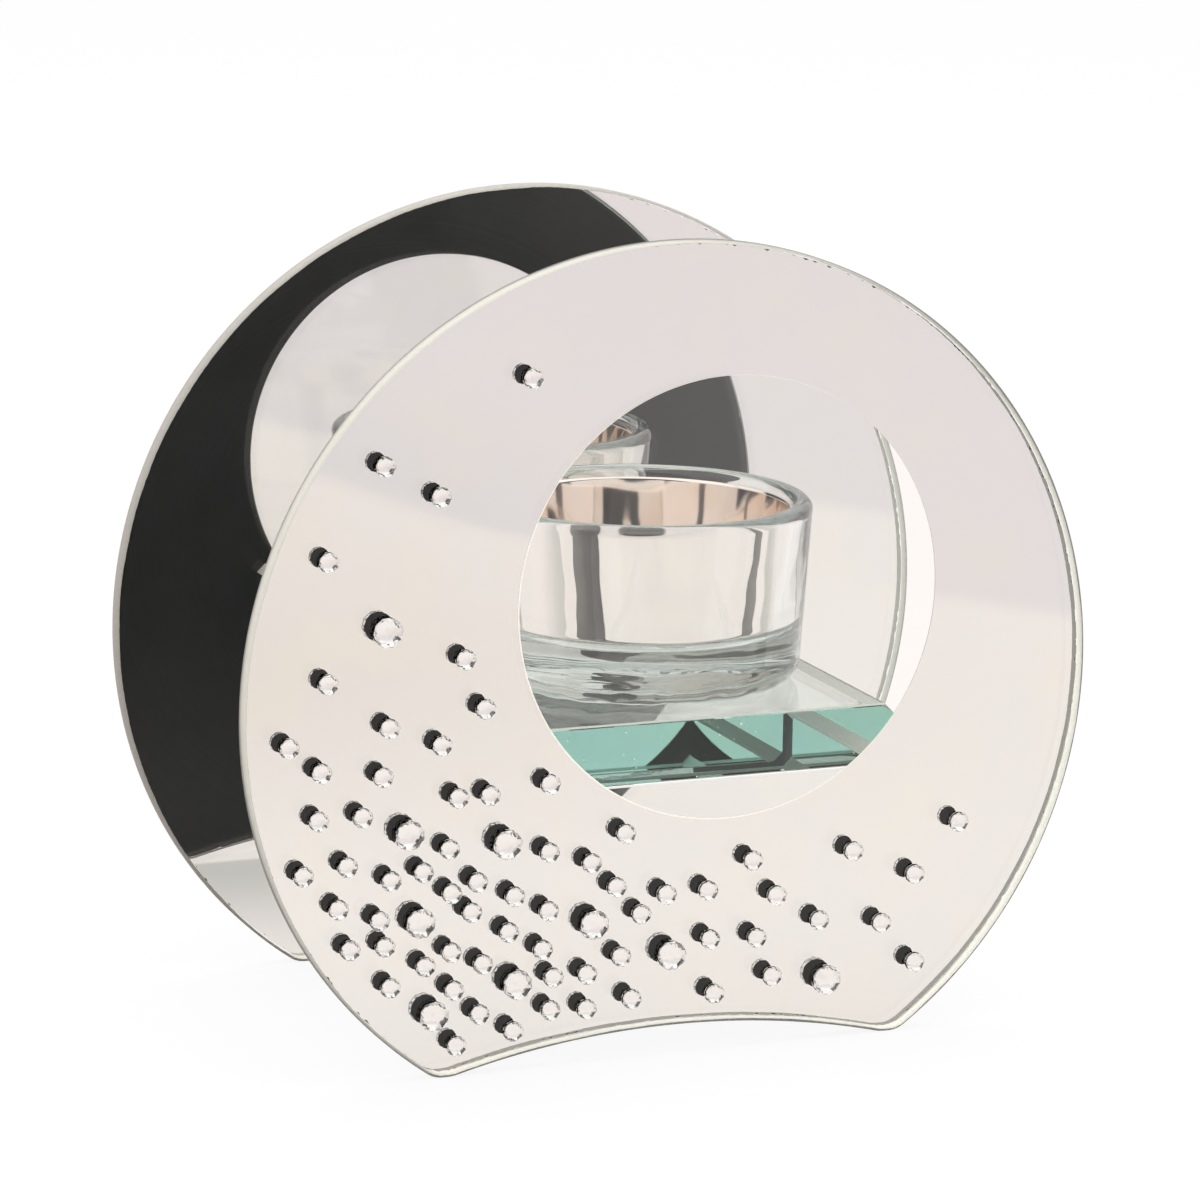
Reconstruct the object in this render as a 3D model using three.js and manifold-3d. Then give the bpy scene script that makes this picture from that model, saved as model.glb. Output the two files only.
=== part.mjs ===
// Mirrored glass tealight holder.
// Two round mirror panes stand on edge, one behind the other. A thick glass shelf block is bonded
// between them, and a pressed glass cup for a tealight stands loose on the shelf. The front mirror has
// an unsilvered window, and crystals are glued to its face.
// Millimetres. X is to the right seen from the front, Y runs from front to back, Z is up.
// The origin is on the ground, at the middle of the whole object's box.

import * as THREE from 'three';
import { mergeVertices } from 'three/addons/utils/BufferGeometryUtils.js';
import Module from 'manifold-3d';

const wasm = await Module();
wasm.setup();

// Panes: a disc whose foot is cut away by a shallow arch, so that it stands on two small lands
const discDiameter = 150;
const discCentreHeight = 62.2;
const paneThickness = 3;
const paneArris = 0.5;
const paneGap = 68.2;
const landWidth = 3.2;
const archRise = 5;
const rimSteps = 96;
const archSteps = 20;

// Window: the round place in the front mirror that has neither silver nor paint
const windowDiameter = 75;
const windowCentreX = 9.8;
const windowAboveDiscCentre = 14.8;
const paintLipInWindow = 0.05;
const windowSteps = 72;

// Coats on the back of each pane
const silverThickness = 0.1;
const paintThickness = 0.15;
const coatMargin = 0.6;

// Clearance between two faces that lie on each other
const seatGap = 0.05;

// Shelf block of thick float glass, and the clear films that bond it to the panes
const shelfLength = 67;
const shelfCentreX = 7;
const shelfThickness = 10.5;
const shelfTopHeight = 57;
const shelfArris = 0.3;
const shelfSideBevel = 1.6;
const bondThickness = 0.2;
const bondMargin = 0.8;

// Tealight cup of pressed glass
const cupCentreX = 7.8;
const cupHeight = 31.3;
const cupBaseRadius = 27.75;
const cupBaseCorner = 4;
const cupRimRadius = 29.35;
const cupLipRadius = 1.85;
const cupFloorHeight = 9;
const cupFloorRadius = 23.6;
const cupFloorFillet = 2.4;
const cupFootRing = 4;
const cupFootRecess = 0.7;
const cupLipTurn = THREE.MathUtils.degToRad(10);
const cupSides = 56;

// Silver lining on the inside of the cup
const liningThickness = 0.15;
const liningBelowRim = 1.9;

// Crystals: flat-backed faceted domes in two sizes
const smallCrystal = { diameter: 3.1, height: 1.4, sides: 8 };
const largeCrystal = { diameter: 4.6, height: 2, sides: 8 };
const crystalGirdle = 0.2;
const crystalShoulder = 0.62;
const crystalTable = 0.42;

// Crystal centres in disc radii, across from the middle and up from the ground
const largeCrystalPlaces = [
  [-0.68, 1.013], [-0.627, 0.56], [-0.4, 0.52], [-0.6, 0.36], [-0.193, 0.32], [-0.007, 0.233],
  [-0.373, 0.2], [-0.567, 0.147], [0.373, 0.14],
];
const smallCrystalPlaces = [
  [-0.353, 1.547], [-0.687, 1.373], [-0.56, 1.3], [-0.813, 1.173], [-0.5, 0.94], [-0.813, 0.907],
  [-0.453, 0.827], [-0.673, 0.8], [-0.553, 0.753], [-0.9, 0.773], [-0.827, 0.713], [-0.687, 0.693],
  [-0.3, 0.647], [-0.513, 0.633], [-0.44, 0.633], [-0.12, 0.52], [-0.833, 0.607], [-0.733, 0.607],
  [-0.3, 0.493], [-0.533, 0.52], [-0.2, 0.46], [0.187, 0.433], [0.433, 0.433], [0.693, 0.48],
  [-0.767, 0.5], [-0.867, 0.487], [-0.14, 0.4], [-0.02, 0.373], [0.08, 0.373], [0.247, 0.347],
  [0.587, 0.367], [-0.787, 0.407], [0.353, 0.28], [0.507, 0.26], [-0.76, 0.313], [0.087, 0.26],
  [0.2, 0.253], [0.24, 0.16], [0.593, 0.16], [0.1, 0.133],
];

// Places worked out from the sizes above
const discRadius = discDiameter / 2;
const coatDepth = 2 * seatGap + silverThickness + paintThickness;
const crystalDepth = seatGap + Math.max(smallCrystal.height, largeCrystal.height);
const wholeDepth = crystalDepth + 2 * paneThickness + paneGap + coatDepth;
const frontPaneFace = crystalDepth - wholeDepth / 2;
const frontPaneBack = frontPaneFace + paneThickness;
const rearPaneFace = frontPaneBack + paneGap;
const rearPaneBack = rearPaneFace + paneThickness;
const frontPaintBack = frontPaneBack + coatDepth;
const shelfFront = frontPaintBack + 2 * seatGap + bondThickness;
const shelfBack = rearPaneFace - 2 * seatGap - bondThickness;
const shelfDepth = shelfBack - shelfFront;
const windowCentreHeight = discCentreHeight + windowAboveDiscCentre;
const windowRadius = windowDiameter / 2;

// Finishes
const clearGlass = new THREE.MeshStandardMaterial({
  color: 0xe6efe9, roughness: 0.02, metalness: 0, transparent: true, opacity: 0.35,
});
const thickGlass = new THREE.MeshStandardMaterial({
  color: 0x9ecbb6, roughness: 0.03, metalness: 0, transparent: true, opacity: 0.6,
});
const silver = new THREE.MeshStandardMaterial({ color: 0xdfd9d6, roughness: 0.02, metalness: 1 });
const blackPaint = new THREE.MeshStandardMaterial({ color: 0x2b2c2c, roughness: 0.35, metalness: 0 });
const clearAdhesive = new THREE.MeshStandardMaterial({
  color: 0xf0f0ea, roughness: 0.1, metalness: 0, transparent: true, opacity: 0.3,
});
const crystalGlass = new THREE.MeshStandardMaterial({ color: 0xe9e9ea, roughness: 0.05, metalness: 0.2 });

// Points on an arc, both ends included
function arcPoints(centreX, centreY, radius, startAngle, endAngle, steps) {
  const points = [];
  for (let i = 0; i <= steps; i += 1) {
    const angle = startAngle + ((endAngle - startAngle) * i) / steps;
    points.push(new THREE.Vector2(centreX + radius * Math.cos(angle), centreY + radius * Math.sin(angle)));
  }
  return points;
}

// Outline of a pane, drawn in by an inset all round: the rim from the right tip over the top to the
// left tip, then the arch back to the right. The straight closing pieces at the tips are the lands.
function paneOutline(inset) {
  const landInnerX = Math.sqrt(discRadius ** 2 - discCentreHeight ** 2) - landWidth;
  const archRadius = (landInnerX ** 2 + archRise ** 2) / (2 * archRise);
  const archCentreHeight = archRise - archRadius;
  const rimRadius = discRadius - inset;
  const cutRadius = archRadius + inset;
  const rimTipX = Math.sqrt(rimRadius ** 2 - (discCentreHeight - inset) ** 2);
  const archTipX = Math.sqrt(cutRadius ** 2 - (inset - archCentreHeight) ** 2);
  const rimStart = Math.atan2(inset - discCentreHeight, rimTipX);
  const archEnd = Math.atan2(inset - archCentreHeight, archTipX);
  const rim = arcPoints(0, discCentreHeight, rimRadius, rimStart, Math.PI - rimStart, rimSteps);
  const arch = arcPoints(0, archCentreHeight, cutRadius, Math.PI - archEnd, archEnd, archSteps);
  return new THREE.Shape([...rim, ...arch]);
}

// Round hole for a window, with the given radius
function windowHole(radius) {
  return new THREE.Path(arcPoints(windowCentreX, windowCentreHeight, radius, 0, -2 * Math.PI, windowSteps));
}

// A plate whose outline stands upright, from a front plane towards the back
function uprightPlate(name, shape, front, thickness, arris, material) {
  const geometry = new THREE.ExtrudeGeometry(shape, {
    depth: thickness - 2 * arris,
    bevelEnabled: arris > 0,
    bevelThickness: arris,
    bevelSize: arris,
    bevelOffset: -arris,
    bevelSegments: 1,
  });
  geometry.translate(0, 0, arris);
  const mesh = new THREE.Mesh(geometry, material);
  mesh.name = name;
  mesh.rotation.x = Math.PI / 2;
  mesh.position.y = front + thickness;
  return mesh;
}

// Closed mesh as a solid, with its shared corners merged
function toSolid(geometry) {
  const bare = geometry.clone();
  bare.deleteAttribute('normal');
  bare.deleteAttribute('uv');
  const merged = mergeVertices(bare, 1e-5);
  return new wasm.Manifold(new wasm.Mesh({
    numProp: 3,
    vertProperties: new Float32Array(merged.attributes.position.array),
    triVerts: new Uint32Array(merged.index.array),
  }));
}

function toGeometry(solid) {
  const mesh = solid.getMesh();
  const geometry = new THREE.BufferGeometry();
  geometry.setAttribute('position', new THREE.BufferAttribute(new Float32Array(mesh.vertProperties), 3));
  geometry.setIndex(new THREE.BufferAttribute(new Uint32Array(mesh.triVerts), 1));
  geometry.computeVertexNormals();
  return geometry;
}

// Box between two corners
function boxBetween(low, high) {
  const geometry = new THREE.BoxGeometry(high[0] - low[0], high[1] - low[1], high[2] - low[2]);
  geometry.translate((low[0] + high[0]) / 2, (low[1] + high[1]) / 2, (low[2] + high[2]) / 2);
  return geometry;
}

// A pane with its silver and its paint. The front one leaves the window clear.
function paneSet(prefix, front, hasWindow) {
  const set = new THREE.Group();
  const silverFront = front + paneThickness + seatGap;
  const paintFront = silverFront + silverThickness + seatGap;
  const silverShape = paneOutline(coatMargin);
  const paintShape = paneOutline(coatMargin);
  if (hasWindow) {
    silverShape.holes.push(windowHole(windowRadius));
    paintShape.holes.push(windowHole(windowRadius - paintLipInWindow));
  }
  set.add(uprightPlate(`${prefix}_glass_pane`, paneOutline(0), front, paneThickness, paneArris, clearGlass));
  set.add(uprightPlate(`${prefix}_silver_coat`, silverShape, silverFront, silverThickness, 0, silver));
  set.add(uprightPlate(`${prefix}_black_paint`, paintShape, paintFront, paintThickness, 0, blackPaint));
  return set;
}

// Shelf block: a thick plate whose left and right sides are bevelled at the top and at the bottom
function shelfBlock() {
  const left = shelfCentreX - shelfLength / 2;
  const right = shelfCentreX + shelfLength / 2;
  const bottom = shelfTopHeight - shelfThickness;
  const shape = new THREE.Shape([
    new THREE.Vector2(left + shelfSideBevel, bottom),
    new THREE.Vector2(right - shelfSideBevel, bottom),
    new THREE.Vector2(right, bottom + shelfSideBevel),
    new THREE.Vector2(right, shelfTopHeight - shelfSideBevel),
    new THREE.Vector2(right - shelfSideBevel, shelfTopHeight),
    new THREE.Vector2(left + shelfSideBevel, shelfTopHeight),
    new THREE.Vector2(left, shelfTopHeight - shelfSideBevel),
    new THREE.Vector2(left, bottom + shelfSideBevel),
  ]);
  return uprightPlate('shelf_block', shape, shelfFront, shelfDepth, shelfArris, thickGlass);
}

// A bond film between two depths, its corners inside the bevels of the shelf block's flat end
function bondPrism(front, back) {
  const margin = shelfArris + Math.max(bondMargin, shelfSideBevel / 2);
  const left = shelfCentreX - shelfLength / 2 + margin;
  const right = shelfCentreX + shelfLength / 2 - margin;
  const bottom = shelfTopHeight - shelfThickness + margin;
  return boxBetween([left, front, bottom], [right, back, shelfTopHeight - margin]);
}

// The front film lies on the paint, and fills the coats' thickness where the window bares the glass
function frontBondFilm() {
  const filmFront = frontPaintBack + seatGap;
  const bossFront = frontPaneBack + seatGap;
  const bossBack = filmFront + bondThickness;
  const bossRadius = windowRadius - paintLipInWindow - seatGap;
  const cylinder = new THREE.CylinderGeometry(bossRadius, bossRadius, 2 * coatDepth, windowSteps);
  cylinder.translate(windowCentreX, bossFront + coatDepth, 0);
  cylinder.translate(0, 0, windowCentreHeight);
  const film = toSolid(bondPrism(filmFront, bossBack));
  const boss = toSolid(bondPrism(bossFront, bossBack)).intersect(toSolid(cylinder));
  const mesh = new THREE.Mesh(toGeometry(film.add(boss)), clearAdhesive);
  mesh.name = 'front_bond_film';
  return mesh;
}

function rearBondFilm() {
  const filmFront = shelfBack + seatGap;
  const mesh = new THREE.Mesh(bondPrism(filmFront, filmFront + bondThickness), clearAdhesive);
  mesh.name = 'rear_bond_film';
  return mesh;
}

// Inside of the cup from the lip down to the middle of the floor, drawn in by an inset
function cupInside(top, inset) {
  const lipInnerRadius = cupRimRadius - 2 * cupLipRadius;
  const wallTop = cupHeight - cupLipRadius;
  const filletTop = cupFloorHeight + cupFloorFillet;
  const taper = (lipInnerRadius - cupFloorRadius) / (wallTop - filletTop);
  const topRadius = cupFloorRadius + taper * (top - filletTop);
  const fillet = cupFloorFillet - inset;
  const filletCentre = cupFloorRadius - cupFloorFillet;
  return [
    new THREE.Vector2(topRadius - inset, top),
    ...arcPoints(filletCentre, filletTop, fillet, 0, -Math.PI / 2, 5),
    new THREE.Vector2(0, cupFloorHeight + inset),
  ];
}

// Half section of the cup, from the middle of its underside round the outside and down the inside
function cupProfile() {
  const footOuter = cupBaseRadius - cupBaseCorner;
  const footInner = footOuter - cupFootRing;
  const wallTop = cupHeight - cupLipRadius;
  const lipCentre = cupRimRadius - cupLipRadius;
  return [
    new THREE.Vector2(0, cupFootRecess),
    new THREE.Vector2(footInner - cupFootRecess, cupFootRecess),
    new THREE.Vector2(footInner, 0),
    ...arcPoints(footOuter, cupBaseCorner, cupBaseCorner, -Math.PI / 2, 0, 5),
    ...arcPoints(lipCentre, wallTop, cupLipRadius, -cupLipTurn, Math.PI, 9),
    ...cupInside(wallTop, 0).slice(1),
  ];
}

// A solid turned round the upright axis of the cup, seated on the shelf
function turnedPiece(name, profile, material) {
  const mesh = new THREE.Mesh(new THREE.LatheGeometry(profile, cupSides), material);
  mesh.name = name;
  mesh.rotation.x = Math.PI / 2;
  return mesh;
}

function tealightCup() {
  const cup = new THREE.Group();
  const liningTop = cupHeight - liningBelowRim;
  const liningProfile = [
    ...cupInside(liningTop, seatGap).reverse(),
    ...cupInside(liningTop, seatGap + liningThickness),
  ];
  cup.add(turnedPiece('tealight_cup', cupProfile(), clearGlass));
  cup.add(turnedPiece('cup_silver_lining', liningProfile, silver));
  cup.position.set(cupCentreX, shelfFront + shelfDepth / 2, shelfTopHeight + seatGap);
  return cup;
}

// One crystal, its flat back towards the pane and its table to the front
function crystal(name, size, place) {
  const radius = size.diameter / 2;
  const profile = [
    new THREE.Vector2(0, 0),
    new THREE.Vector2(radius, 0),
    new THREE.Vector2(radius, crystalGirdle),
    new THREE.Vector2(radius * (1 + crystalTable) / 2, size.height * crystalShoulder),
    new THREE.Vector2(radius * crystalTable, size.height),
    new THREE.Vector2(0, size.height),
  ];
  const mesh = new THREE.Mesh(new THREE.LatheGeometry(profile, size.sides), crystalGlass);
  mesh.name = name;
  mesh.rotation.x = Math.PI;
  mesh.position.set(discRadius * place[0], frontPaneFace - seatGap, discRadius * place[1]);
  return mesh;
}

function crystals() {
  const group = new THREE.Group();
  largeCrystalPlaces.forEach((place, i) => {
    group.add(crystal(`large_crystal_${String(i + 1).padStart(2, '0')}`, largeCrystal, place));
  });
  smallCrystalPlaces.forEach((place, i) => {
    group.add(crystal(`small_crystal_${String(i + 1).padStart(2, '0')}`, smallCrystal, place));
  });
  return group;
}

const holder = new THREE.Group();
holder.add(paneSet('front', frontPaneFace, true));
holder.add(paneSet('rear', rearPaneFace, false));
holder.add(shelfBlock());
holder.add(frontBondFilm());
holder.add(rearBondFilm());
holder.add(tealightCup());
holder.add(crystals());

export default holder;
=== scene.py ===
# %% [markdown]
# Mirrored glass tealight holder: two round mirror panes on edge, a thick glass shelf between them, a
# pressed glass cup on the shelf, and crystals glued to the front mirror.
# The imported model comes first, as a fixed frame. It says where every piece is and how big it is. Each
# cell below then makes one piece or one finish, and the last cell ties the new pieces to the frame.
# Everything is in metres: X to the right, Y from front to back, Z up.

# %% Load the frame
import math
import random

import bmesh
import bpy
from mathutils import Matrix, Vector, noise
from mathutils.geometry import delaunay_2d_cdt


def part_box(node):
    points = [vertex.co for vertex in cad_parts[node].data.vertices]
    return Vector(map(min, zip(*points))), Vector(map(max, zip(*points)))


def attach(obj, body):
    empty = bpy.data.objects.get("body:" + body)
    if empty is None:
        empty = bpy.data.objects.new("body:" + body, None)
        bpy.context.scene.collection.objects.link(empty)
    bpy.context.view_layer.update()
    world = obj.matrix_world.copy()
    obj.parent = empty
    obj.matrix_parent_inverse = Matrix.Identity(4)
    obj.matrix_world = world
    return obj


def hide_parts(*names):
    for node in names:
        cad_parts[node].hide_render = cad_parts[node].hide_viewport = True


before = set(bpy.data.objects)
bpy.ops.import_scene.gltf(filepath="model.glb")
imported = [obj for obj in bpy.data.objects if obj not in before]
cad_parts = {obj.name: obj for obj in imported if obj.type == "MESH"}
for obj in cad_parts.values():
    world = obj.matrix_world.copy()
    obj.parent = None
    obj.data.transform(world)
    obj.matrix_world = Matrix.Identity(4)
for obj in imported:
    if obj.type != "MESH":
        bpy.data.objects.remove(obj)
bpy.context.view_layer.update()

MM = 0.001
scene = bpy.context.scene

# %% [markdown]
# The new pieces have to lie exactly where the frame's pieces lie, so their places are read from it
# and not typed in. A mirror pane is a disc whose foot is cut away by a shallow arch. The frame gives
# its faces and its height, and only the radius of the disc and the arch are stated here again.

# %% Places and sizes
front_low, front_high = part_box("front_glass_pane")
rear_low, rear_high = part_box("rear_glass_pane")
shelf_low, shelf_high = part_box("shelf_block")
cup_low, cup_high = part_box("tealight_cup")

DISC_RADIUS = 75 * MM
DISC_CENTRE = Vector((0.0, front_high.z - DISC_RADIUS))
LAND_WIDTH = 3.2 * MM
ARCH_RISE = 5 * MM
PANE_ARRIS = 0.5 * MM
WINDOW_RADIUS = 37.5 * MM
WINDOW_CENTRE = Vector((9.8 * MM, DISC_CENTRE.y + 14.8 * MM))
SHELF_ARRIS = 0.3 * MM
SHELF_BEVEL = 1.6 * MM
CUP_CENTRE = (cup_low + cup_high) / 2
print("disc centre", tuple(DISC_CENTRE), "window centre", tuple(WINDOW_CENTRE))

# %% [markdown]
# A product picture depends on its camera before anything else. This one stands to the left of the
# front mirror and a little above it. A long lens from 0.87 m keeps the two discs nearly the same size.
# The camera could be aimed with a Track To constraint, but a slight roll is wanted, so its three
# axes are worked out and written into its matrix.

# %% Camera
CAMERA_PLACE = Vector((-0.3114, -0.7698, 0.25085))
CAMERA_AZIMUTH = math.radians(-22.059)
CAMERA_ELEVATION = math.radians(12.267)
CAMERA_ROLL = math.radians(0.947)
CAMERA_LENS = 149.1


def make_camera():
    backward = Vector((
        math.sin(CAMERA_AZIMUTH) * math.cos(CAMERA_ELEVATION),
        -math.cos(CAMERA_AZIMUTH) * math.cos(CAMERA_ELEVATION),
        math.sin(CAMERA_ELEVATION),
    ))
    level_right = Vector((0, 0, 1)).cross(backward).normalized()
    level_up = backward.cross(level_right)
    right = level_right * math.cos(CAMERA_ROLL) + level_up * math.sin(CAMERA_ROLL)
    up = backward.cross(right)
    data = bpy.data.cameras.new("camera")
    data.sensor_width = 36
    data.lens = CAMERA_LENS
    data.clip_start = 0.01
    camera = bpy.data.objects.new("camera", data)
    axes = Matrix((right, up, backward)).transposed().to_4x4()
    camera.matrix_world = Matrix.Translation(CAMERA_PLACE) @ axes
    scene.collection.objects.link(camera)
    return camera


scene.camera = make_camera()
print("camera at", tuple(scene.camera.location))

# %% [markdown]
# A path through this object is long: into the front pane, through the cup, into the rear pane, back
# from its silver and out again. Each face counts as one bounce, so the limits are raised. Light that
# a mirror or a lens throws on a matt surface is left out, because it is very slow to render.

# %% Light paths
scene.view_settings.view_transform = "Standard"
cycles = scene.cycles
cycles.max_bounces = 40
cycles.transmission_bounces = 32
cycles.glossy_bounces = 16
cycles.diffuse_bounces = 3
cycles.transparent_max_bounces = 32
cycles.caustics_reflective = False
cycles.caustics_refractive = False
print("bounces allowed:", cycles.max_bounces)

# %% [markdown]
# A few small helpers keep the node code readable. Each material here is a list of nodes and the links
# between them, and a number that needs no pattern is set on the shader's own socket.

# %% Node helpers
def node(tree, kind, inputs=(), **settings):
    """Adds a node, sets its properties, and then sets or links its inputs."""
    made = tree.nodes.new(kind)
    for key, value in settings.items():
        setattr(made, key, value)
    for key, value in dict(inputs).items():
        if isinstance(value, bpy.types.NodeSocket):
            tree.links.new(value, made.inputs[key])
        else:
            made.inputs[key].default_value = value
    return made


def maths(tree, operation, first, second):
    return node(tree, "ShaderNodeMath", {0: first, 1: second}, operation=operation).outputs[0]


def blend_colour(tree, share, first, second):
    mix = node(tree, "ShaderNodeMix", {0: share, 6: first, 7: second}, data_type="RGBA")
    return mix.outputs[2]


def blend_shader(tree, share, first, second):
    return node(tree, "ShaderNodeMixShader", {0: share, 1: first, 2: second}).outputs[0]


def mottle(tree, place, scale, detail=2.0):
    """A soft random pattern of values round 0.5."""
    inputs = {"Vector": place, "Scale": scale, "Detail": detail}
    return node(tree, "ShaderNodeTexNoise", inputs).outputs["Fac"]


def alignment(tree, direction, target):
    """1 where a direction points at the target, and less the further it points away."""
    inputs = {0: direction, 1: target}
    return node(tree, "ShaderNodeVectorMath", inputs, operation="DOT_PRODUCT").outputs["Value"]


def remap(tree, value, low, high, to_low=0.0, to_high=1.0, smooth=False):
    """Carries a value from one range to another and holds it at the ends."""
    kind = "SMOOTHSTEP" if smooth else "LINEAR"
    inputs = {"Value": value, "From Min": low, "From Max": high, "To Min": to_low, "To Max": to_high}
    return node(tree, "ShaderNodeMapRange", inputs, interpolation_type=kind).outputs["Result"]


def grey(value):
    return (value, value, value, 1.0)


def new_material(name):
    material = bpy.data.materials.new(name)
    material.use_nodes = True
    material.node_tree.nodes.clear()
    return material, material.node_tree


def object_place(tree):
    return node(tree, "ShaderNodeTexCoord").outputs["Object"]


def finish_material(tree, surface, **more):
    node(tree, "ShaderNodeOutputMaterial", {"Surface": surface, **more})


def seen_directly(tree):
    """1 for what the camera sees, also by way of a mirror or through glass."""
    rays = node(tree, "ShaderNodeLightPath").outputs
    shiny = maths(tree, "MAXIMUM", rays["Is Glossy Ray"], rays["Is Transmission Ray"])
    return maths(tree, "MAXIMUM", rays["Is Camera Ray"], shiny)


print("node helpers are ready")

# %% [markdown]
# Mirrors and clear glass have almost no colour of their own. They show the room, so the room is the
# finish. Straight into the camera the world is plain white. Mirrors and glass see a room that is
# brightest above, warm white behind the object and a little darker in front. A dark patch stands for
# the camera and its stand: only a stone or the cup is curved enough to show it, and it gives each
# stone its one dark facet. Matt surfaces get an even light, to which the lamps add.

# %% World
ROOM_FRONT = (0.86, 0.81, 0.79, 1.0)
ROOM_BACK = (1.0, 0.965, 0.95, 1.0)
ROOM_ABOVE = (1.25, 1.23, 1.2, 1.0)
ROOM_FILL = 0.62
STAND_DIRECTION = (-0.36, -0.895, 0.256)
STAND_REACH = math.radians(16)
STAND_TONE = 0.02


def make_world():
    world = bpy.data.worlds.new("studio_room")
    world.use_nodes = True
    tree = world.node_tree
    tree.nodes.clear()
    direction = node(tree, "ShaderNodeTexCoord").outputs["Generated"]
    axes = node(tree, "ShaderNodeSeparateXYZ", {0: direction})
    behind = remap(tree, axes.outputs["Y"], 0.3, 0.85, smooth=True)
    above = remap(tree, axes.outputs["Z"], 0.1, 0.5, smooth=True)
    room = blend_colour(tree, above, blend_colour(tree, behind, ROOM_FRONT, ROOM_BACK), ROOM_ABOVE)
    towards = alignment(tree, direction, STAND_DIRECTION)
    stand = remap(tree, towards, math.cos(STAND_REACH * 1.2), math.cos(STAND_REACH), smooth=True)
    room = blend_colour(tree, stand, room, grey(STAND_TONE))
    path = node(tree, "ShaderNodeLightPath")
    backdrop = blend_colour(tree, path.outputs["Is Camera Ray"], room, grey(1.0))
    colour = blend_colour(tree, seen_directly(tree), grey(ROOM_FILL), backdrop)
    background = node(tree, "ShaderNodeBackground", {"Color": colour, "Strength": 1.0})
    node(tree, "ShaderNodeOutputWorld", {"Surface": background.outputs[0]})
    scene.world = world


make_world()
print("world strength for matt surfaces:", ROOM_FILL)

# %% [markdown]
# Three large soft lamps stand for the studio's soft boxes: one above, one on each side. They are
# hidden from mirrors and glass, which would otherwise show hard white discs.

# %% Lamps
def soft_lamp(name, place, size, watts):
    data = bpy.data.lights.new(name, "AREA")
    data.shape = "DISK"
    data.size = size
    data.energy = watts
    lamp = bpy.data.objects.new(name, data)
    lamp.location = place
    lamp.rotation_euler = (-Vector(place)).to_track_quat("-Z", "Y").to_euler()
    lamp.visible_glossy = False
    lamp.visible_transmission = False
    scene.collection.objects.link(lamp)
    return lamp


lamps = [
    soft_lamp("lamp_above", (0.1, 0.1, 1.3), 1.2, 5.0),
    soft_lamp("lamp_left", (-1.1, -0.4, 0.7), 0.8, 1.4),
    soft_lamp("lamp_right", (1.1, -0.2, 0.8), 0.8, 1.4),
]
print("lamps:", [lamp.name for lamp in lamps])

# %% [markdown]
# The floor is pale paper. The camera should see it as white, yet it should still hold the soft
# shadow of the object, so its colour is part lit and part its own light. The mirrors take their looks
# from this floor: in front they show warm paper and, from a soft edge on, the greyer floor beyond it.
# Between the panes little light gets in, so the paper there is painted grey as shade, and the painted
# shade grows lighter backwards.

# %% Floor
PAPER_CORNER = Vector((0.124, -0.453))
PAPER_SIDE = math.radians(79.8)
PAPER_END = math.radians(54.0)
PAPER_LEFT = (0.89, 0.813, 0.757, 1.0)
PAPER_RIGHT = (0.982, 0.917, 0.885, 1.0)
PAPER_NEAR = (1.0, 0.938, 0.9, 1.0)
PAPER_SHADED = (0.66, 0.645, 0.61, 1.0)
BEYOND_LEFT = (0.72, 0.69, 0.68, 1.0)
BEYOND_RIGHT = (0.885, 0.8235, 0.8227, 1.0)
PAPER_BEHIND = (1.0, 0.935, 0.91, 1.0)
SHADE_START, SHADE_END = -29 * MM, 35 * MM
LIT_SHARE = 0.15
FLOOR_GLOW = 0.89
FLOOR_HALF = 6.0
FLOOR_DROP = 0.02 * MM


def past_edge(tree, axes, angle, softness):
    """0 on the left of a line through the paper's corner that runs at an angle, 1 on its right."""
    from_x = maths(tree, "SUBTRACT", axes.outputs["X"], PAPER_CORNER.x)
    from_y = maths(tree, "SUBTRACT", axes.outputs["Y"], PAPER_CORNER.y)
    across = maths(tree, "MULTIPLY", from_x, math.sin(angle))
    along = maths(tree, "MULTIPLY", from_y, math.cos(angle))
    return remap(tree, maths(tree, "SUBTRACT", across, along), -softness, softness, smooth=True)


def paper_material():
    material, tree = new_material("studio_paper")
    place = node(tree, "ShaderNodeNewGeometry").outputs["Position"]
    axes = node(tree, "ShaderNodeSeparateXYZ", {0: place})
    grain = mottle(tree, place, 900.0, 3.0)
    past_side = past_edge(tree, axes, PAPER_SIDE, 0.01)
    past_end = past_edge(tree, axes, PAPER_END, 0.012)
    to_right = remap(tree, axes.outputs["X"], -0.05, 0.22, smooth=True)
    near = remap(tree, axes.outputs["Y"], -0.33, -0.12, smooth=True)
    far_tone = blend_colour(tree, to_right, PAPER_LEFT, PAPER_RIGHT)
    paper_tone = blend_colour(tree, near, far_tone, PAPER_NEAR)
    beyond_tone = blend_colour(tree, to_right, BEYOND_LEFT, BEYOND_RIGHT)
    beyond = maths(tree, "MULTIPLY", past_side, past_end)
    in_front = blend_colour(tree, beyond, paper_tone, beyond_tone)
    # Painted shade between the panes: grey behind the front pane, lighter backwards.
    backwards = remap(tree, axes.outputs["Y"], SHADE_START, SHADE_END, smooth=True)
    between = blend_colour(tree, backwards, PAPER_SHADED, PAPER_BEHIND)
    front_share = remap(tree, axes.outputs["Y"], SHADE_START - 2 * MM, SHADE_START, 1.0, 0.0)
    shown = blend_colour(tree, front_share, between, in_front)
    path = node(tree, "ShaderNodeLightPath")
    shown = blend_colour(tree, path.outputs["Is Camera Ray"], shown, grey(1.0))
    glow = maths(tree, "MULTIPLY", seen_directly(tree), FLOOR_GLOW)
    lift = node(tree, "ShaderNodeBump", {"Height": grain, "Strength": 0.05, "Distance": 0.0002})
    paper = node(tree, "ShaderNodeBsdfPrincipled", {
        "Base Color": blend_colour(tree, LIT_SHARE, grey(0.0), shown),
        "Roughness": 0.9,
        "Specular IOR Level": 0.0,
        "Normal": lift.outputs[0],
        "Emission Color": shown,
        "Emission Strength": glow,
    })
    finish_material(tree, paper.outputs[0])
    return material


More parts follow.
